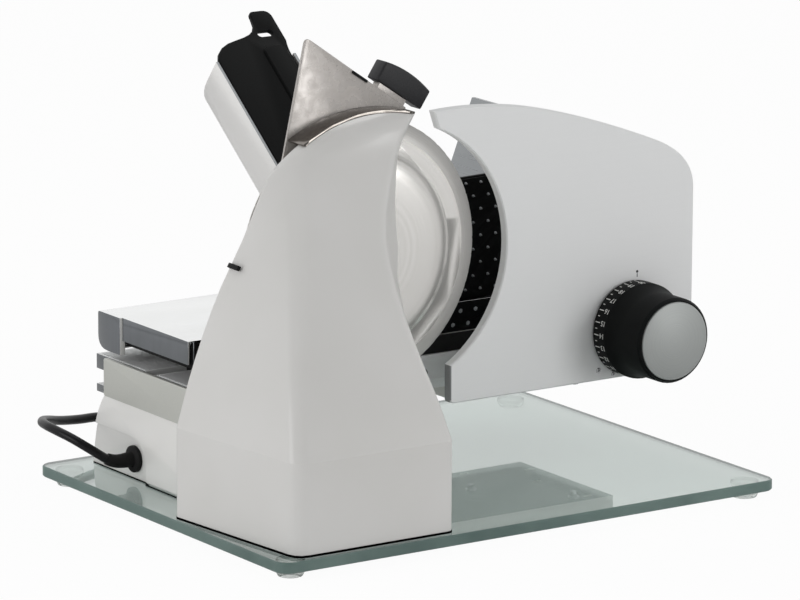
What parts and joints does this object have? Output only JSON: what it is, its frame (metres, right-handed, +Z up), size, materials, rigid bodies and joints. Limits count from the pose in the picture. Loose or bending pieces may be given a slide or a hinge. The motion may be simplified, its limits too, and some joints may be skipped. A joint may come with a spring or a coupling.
{
  "type": "food slicer",
  "caption": "Electric food slicer with a round blade on a painted motor tower, sliding carriage with feed chute, stop plate set by a numbered knob, and a glass base.",
  "frame": {"origin": "centre of the underside of the machine without its cord, on the surface it stands on", "axes": "+X along the blade towards the operator, +Y from the knob side to the carriage side, +Z up"},
  "size_m": [0.3961, 0.396, 0.2996],
  "materials": {
    "toughened_glass": "clear, slightly green",
    "clear_rubber": "soft, matt",
    "white_paint": "semi-gloss paint on thin cast metal",
    "black_plastic": "fine-grained moulding",
    "dark_plastic": "smooth moulding",
    "black_rubber": "matt",
    "polished_steel": "bright polished stainless",
    "stainless_sheet": "fine brushed stainless sheet",
    "satin_aluminium": "satin, bead blasted",
    "grey_sheet": "dark grey paint on sheet",
    "bright_steel": "ground steel",
    "motor_steel": "plated motor casing",
    "bronze": "sintered bronze",
    "black_cord": "smooth mains cord sheath"
  },
  "bodies": {
    "base": {"glass_base": "toughened_glass", "foot_near_left": "clear_rubber", "foot_far_left": "clear_rubber", "foot_near_right": "clear_rubber", "foot_far_right": "clear_rubber", "motor_tower": "white_paint", "tower_back_plate": "white_paint", "base_housing": "white_paint", "cord_gland": "black_plastic", "spindle_nut": "black_plastic", "stop_pin": "black_plastic", "cover_grip": "black_plastic", "switch_bezel": "black_plastic", "motor_end_cap": "black_plastic", "side_bumper": "black_rubber", "drive_belt": "black_rubber", "rail_wiper": "black_rubber", "blade_guard": "polished_steel", "blade_cover": "stainless_sheet", "rail": "satin_aluminium", "rail_plate_left": "satin_aluminium", "rail_plate_right": "satin_aluminium", "guide_tray": "grey_sheet", "motor_can": "motor_steel", "guide_bush_1": "bronze", "guide_bush_2": "bronze", "cord_free": "black_cord", "cord_coil": "black_cord", "mains_plug": "black_cord"},
    "blade": {"blade": "polished_steel", "blade_hub": "stainless_sheet", "blade_shaft": "bright_steel", "blade_pulley": "bright_steel"},
    "motor_rotor": {"drive_pulley": "bright_steel"},
    "stop_plate": {"stop_plate": "satin_aluminium", "guide_rod_1": "bright_steel", "guide_rod_2": "bright_steel"},
    "knob": {"thickness_knob": "black_plastic", "knob_cap": "satin_aluminium", "spindle": "bright_steel"},
    "carriage": {"carriage_deck": "stainless_sheet", "carriage_frame": "black_plastic", "runner": "dark_plastic", "back_wall": "stainless_sheet", "chute_stand": "black_plastic", "feed_chute": "stainless_sheet"},
    "pusher": {"pusher": "black_plastic"},
    "remnant_holder": {"remnant_holder": "black_plastic", "spike_plate": "black_plastic"},
    "button": {"power_button": "dark_plastic"}
  },
  "joints": [
    {"name": "blade_spin", "type": "hinge", "parent": "base", "child": "blade", "pos_m": [-0.04875, -0.015, 0.1613], "axis": [0, 1, 0], "continuous": true},
    {"name": "motor_spin", "type": "hinge", "parent": "base", "child": "motor_rotor", "pos_m": [-0.11825, -0.03, 0.0823], "axis": [0, 1, 0], "continuous": true},
    {"name": "thickness_slide", "type": "slide", "parent": "base", "child": "stop_plate", "axis": [0, 1, 0], "range_m": [0, 0.02]},
    {"name": "knob_turn", "type": "hinge", "parent": "stop_plate", "child": "knob", "pos_m": [0.14275, -0.061, 0.0948], "axis": [0, 1, 0], "range_deg": [0, 300]},
    {"name": "carriage_slide", "type": "slide", "parent": "base", "child": "carriage", "axis": [1, 0, 0], "range_m": [0, 0.13]},
    {"name": "pusher_slide", "type": "slide", "parent": "carriage", "child": "pusher", "axis": [0, 0.7869, 0.617], "range_m": [0, 0.11]},
    {"name": "remnant_slide", "type": "slide", "parent": "carriage", "child": "remnant_holder", "axis": [0, 1, 0], "range_m": [0, 0.045]},
    {"name": "button_press", "type": "slide", "parent": "base", "child": "button", "axis": [-1, 0, 0], "range_m": [0, 0.0025], "stiffness_N_per_m": 300}
  ],
  "couplings": [
    {"joint": "motor_spin", "follows": "blade_spin", "ratio": 1},
    {"joint": "knob_turn", "follows": "thickness_slide", "rad_per_m": 261.5}
  ]
}
